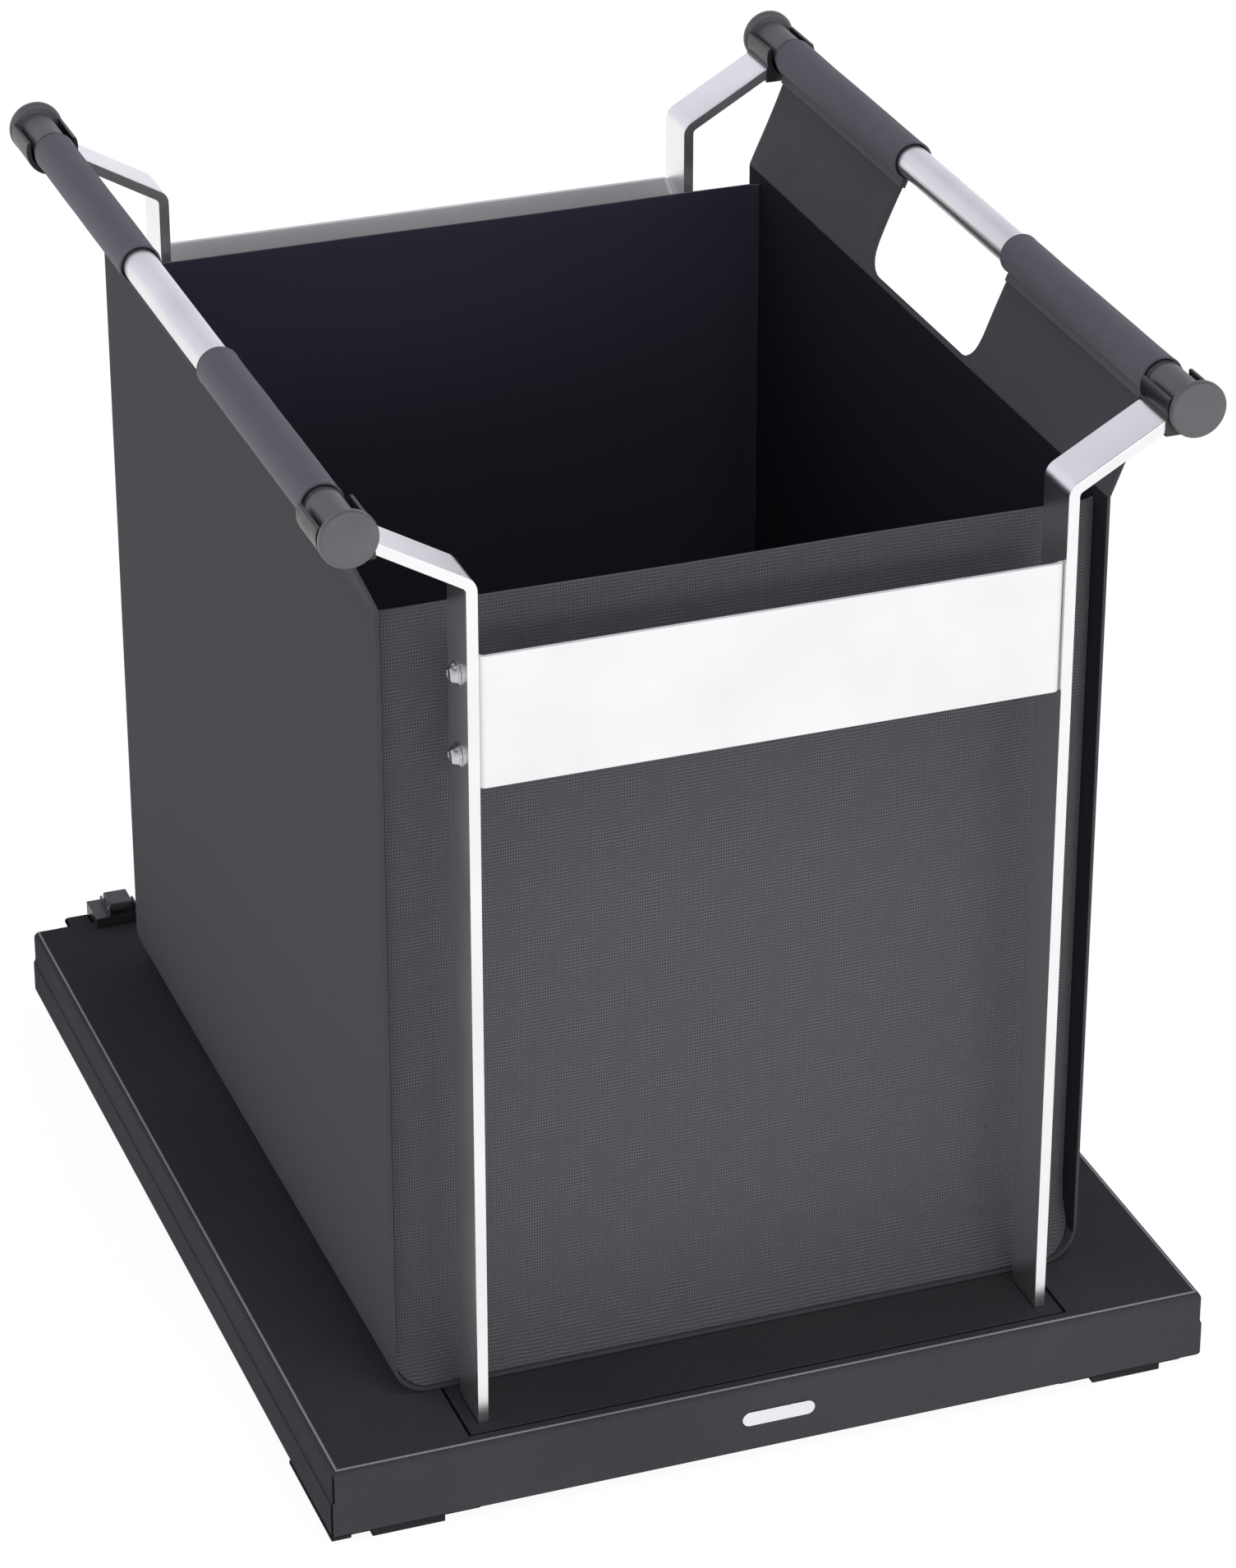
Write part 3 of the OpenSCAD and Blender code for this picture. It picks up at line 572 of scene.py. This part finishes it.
def bag_panel(end):
    """A front or rear panel, sewn to the inside of the strip round its sides and bottom."""
    out = -1 if end == "front" else 1
    plane = BAG_FRONT + PANEL_INSET if end == "front" else BAG_BACK - PANEL_INSET
    play = 0.0002
    half_w = BAG_X - CLOTH / 2 - play
    base = BAG_FLOOR + CLOTH / 2 + play
    corner = CORNER_R - CLOTH / 2
    seam = 0.006
    scoop_top, scoop_depth = 0.036, PANEL_INSET - 0.0016
    seed = 11.0 if end == "front" else 17.0
    rise = [corner * (1 - math.cos(math.radians(a))) for a in range(0, 91, 10)]
    rise += spread([corner, PANEL_TOP - base], [44])[1:]
    across = spread([-1.0, -0.97, -0.9, 0.9, 0.97, 1.0], [5, 3, 34, 3, 5])
    rows, flat = [], []
    for up in rise:
        reach = corner - math.sqrt(max(corner**2 - (corner - up) ** 2, 0.0)) if up < corner else 0.0
        scoop = scoop_depth * max(0.0, 1 - up / scoop_top) ** 2
        risen = math.sin(math.pi * min(up / 0.30, 1.0))
        line, place = [], []
        for k in across:
            x = k * (half_w - reach)
            from_side = half_w - reach - abs(x)
            turned = max(0.0, 1 - from_side / seam) if up > corner else 0.0
            give = 0.0014 * ripple(x, up, seed, 0.13)
            belly = 0.0022 * risen * math.cos(math.pi * x / (2 * half_w))
            held = min(1.0, min(from_side, up) / 0.03)
            y = plane + out * ((give + belly) * held + scoop - 0.0024 * turned**2)
            line.append((x, y, base + up))
            place.append((x, up))
        rows.append(line)
        flat.append(place)
    name = f"bag_{end}_cloth"
    mesh = grid_mesh(name, rows, flat)
    node = "bag_front_panel" if end == "front" else "bag_back_panel"
    piece = make_object(name, mesh, "bag_cloth", "bag", [node], "panel_cloth")
    thicken(piece, CLOTH * 0.9)
    # The panel's inward faces get the darker cloth: painted shade
    line_inside(piece, lambda p: Vector((0, -out, 0)), "panel_lining_painted_shade", lambda p: True)
    return piece


def sleeve(side, end):
    """A finer strip folded over the tube, its two ends sewn to the flap between them."""
    sign = -1 if side == "left" else 1
    length = (BAG_BACK - BAG_FRONT - GRIP) / 2
    y0 = BAG_FRONT if end == "front" else BAG_BACK - length
    down = Vector((-sign * math.sin(FLAP_TILT), -math.cos(FLAP_TILT)))
    across = Vector((sign * math.cos(FLAP_TILT), -math.sin(FLAP_TILT)))
    gap = CLOTH / 2 + SLEEVE_CLOTH / 2 + 0.0001
    start = math.degrees(math.asin(gap / SLEEVE_MID_R))
    neck = SLEEVE_MID_R * math.cos(math.radians(start))
    steps = 44
    outline = [across * gap + down * (neck + SLEEVE_TAIL * (1 - k / 4)) for k in range(4)]
    for k in range(steps + 1):
        a = math.radians(start + (360 - 2 * start) * k / steps)
        outline.append((down * math.cos(a) + across * math.sin(a)) * SLEEVE_MID_R)
    outline += [-across * gap + down * (neck + SLEEVE_TAIL * (k + 1) / 4) for k in range(4)]
    lengths = [0.0]
    for a, b in zip(outline, outline[1:]):
        lengths.append(lengths[-1] + (b - a).length)
    rows, flat = [], []
    for y in spread([0, 0.002, length - 0.002, length], [2, 40, 2]):
        end_lift = 0.00025 * math.exp(-min(y, length - y) / 0.0012)
        line = []
        for k, point in enumerate(outline):
            grow = 0.00018 * ripple(y, lengths[k], 2.0 + sign, 0.03) + end_lift
            scale = 1 + grow / max(point.length, 1e-6)
            line.append((sign * TUBE_X + point.x * scale, y0 + y, TUBE_Z + point.y * scale))
        rows.append(line)
        flat.append([(y, s) for s in lengths])
    name = f"sleeve_{end}_{side}"
    mesh = grid_mesh(name, rows, flat)
    piece = thicken(make_object(name, mesh, "sleeve_cloth", "bag"), SLEEVE_CLOTH, 0.0002)
    return piece


# ---- Camera, light and floor ----------------------------------------------------------------

def floor():
    """The sweep the object stands on, just under its feet."""
    size = 30.0
    mesh = bpy.data.meshes.new("studio_floor")
    corners = [(-size, -size, 0), (size, -size, 0), (size, size, 0), (-size, size, 0)]
    mesh.from_pydata([(x, y, cad_box[0].z - 0.0005) for x, y, _ in corners], [], [(0, 1, 2, 3)])
    mesh.materials.append(pale_floor())
    plane = bpy.data.objects.new("studio_floor", mesh)
    bpy.context.scene.collection.objects.link(plane)


def softbox(name, place, target, size, power, colour=(1, 1, 1)):
    light = bpy.data.lights.new(name, "AREA")
    light.shape = "RECTANGLE"
    light.size, light.size_y = size
    light.energy = power
    light.color = colour
    lamp = bpy.data.objects.new(name, light)
    bpy.context.scene.collection.objects.link(lamp)
    lamp.location = place
    lamp.rotation_mode = "QUATERNION"
    lamp.rotation_quaternion = (Vector(target) - Vector(place)).to_track_quat("-Z", "Y")


def sky():
    """A pale lavender horizon that dims overhead, so that deep spaces stay dark."""
    world = bpy.data.worlds.new("studio")
    bpy.context.scene.world = world
    world.use_nodes = True
    nodes, links = world.node_tree.nodes, world.node_tree.links
    split = nodes.new("ShaderNodeSeparateXYZ")
    links.new(nodes.new("ShaderNodeTexCoord").outputs["Generated"], split.inputs[0])
    dim = nodes.new("ShaderNodeMapRange")
    dim.interpolation_type = "SMOOTHSTEP"
    links.new(split.outputs["Z"], dim.inputs["Value"])
    for socket, number in (("From Min", 0.48), ("From Max", 0.92), ("To Min", 0.90), ("To Max", 0.20)):
        dim.inputs[socket].default_value = number
    back = nodes["Background"]
    back.inputs["Color"].default_value = (0.93, 0.93, 1.03, 1)
    links.new(dim.outputs[0], back.inputs["Strength"])


def studio_light():
    sky()
    middle = (0, 0, 0.2)
    softbox("front_softbox", (0.5, -3.0, 0.95), middle, (2.0, 0.5), 15)
    softbox("top_softbox", (0.2, -1.3, 2.4), middle, (0.8, 0.5), 7)


def camera():
    """The photograph's viewpoint: from the front and left, looking down."""
    azimuth, elevation = math.radians(20.14), math.radians(27.67)
    distance = 2.379
    target = Vector((-0.0076, -0.0733, 0.2439))
    forward = Vector((
        math.sin(azimuth) * math.cos(elevation),
        math.cos(azimuth) * math.cos(elevation),
        -math.sin(elevation),
    ))
    data = bpy.data.cameras.new("camera")
    data.lens = 122.3
    data.sensor_width = 36
    view = bpy.data.objects.new("camera", data)
    bpy.context.scene.collection.objects.link(view)
    view.location = target - forward * distance
    view.rotation_mode = "QUATERNION"
    view.rotation_quaternion = forward.to_track_quat("-Z", "Y")
    bpy.context.scene.camera = view


# ---- Put together ---------------------------------------------------------------------------

def paint_cad_nodes():
    for name, node in NODES.items():
        node.data.materials.clear()
        node.data.materials.append(MATERIALS[SLOT_OF[name]])


def ease_cad_nodes():
    """Visible metal and plastic gets eased edges, each at the radius such a piece has."""
    for end in ENDS:
        for side in SIDES:
            rounded_node(f"post_{end}_{side}", 0.00045, 3)
            rounded_node(f"cradle_{end}_{side}", 0.00035)
            rounded_node(f"plug_{end}_{side}", 0.0003)
        rounded_node(f"{end}_band", 0.00035, 3)
        rounded_node(f"{end}_band_screws", 0.00035)
        rounded_node(f"{end}_cover", 0.0002, finish="cover_paint")
    for side in SIDES:
        rounded_node(f"catch_{side}", 0.0003)
        rounded_node(f"lever_{side}", 0.0005)
        rounded_node(f"floor_foot_front_{side}", 0.0003)
    line_tray_edges(rounded_node("base_tray", 0.0011, 4))
    rounded_node("front_badge", 0.00015)


def line_tray_edges(tray):
    """Paints both lines of each top bend light grey, a painted highlight, and the gaps and corner seams
    near-black, a painted shade.
    """
    # Material index 1 is the painted highlight, index 2 the painted shade
    edge, seam = 1, 2
    tray.data.materials.append(MATERIALS["tray_painted_highlight"])
    tray.data.materials.append(MATERIALS["tray_painted_shade"])
    for face in tray.data.polygons:
        tilt = math.degrees(math.asin(min(1.0, abs(face.normal.z))))
        at_top = face.center.z > TRAY_HIGH.z - 0.0014
        outside = abs(face.center.x) > TRAY_HIGH.x - 0.004 or face.center.y < TRAY_LOW.y + 0.003
        bend_line = 4 < tilt < 22 or 68 < tilt < 86
        corner = tilt < 30 and 0.5 < abs(face.normal.x) < 0.99 and abs(face.normal.y) > 0.1
        # Faces on both lines of a top bend at the front and sides get the painted highlight
        if at_top and outside and bend_line:
            face.material_index = edge
        # Corner seams, and sloped faces at the top away from the front and side edges, get the painted
        # shade
        elif corner or at_top and not outside and tilt < 86:
            face.material_index = seam


def sew_bag():
    bag_wrap()
    for end in ENDS:
        bag_panel(end)
        for side in SIDES:
            sleeve(side, end)


camera()
paint_cad_nodes()
ease_cad_nodes()
sew_bag()
floor()
studio_light()
bpy.context.scene.view_settings.view_transform = "Standard"
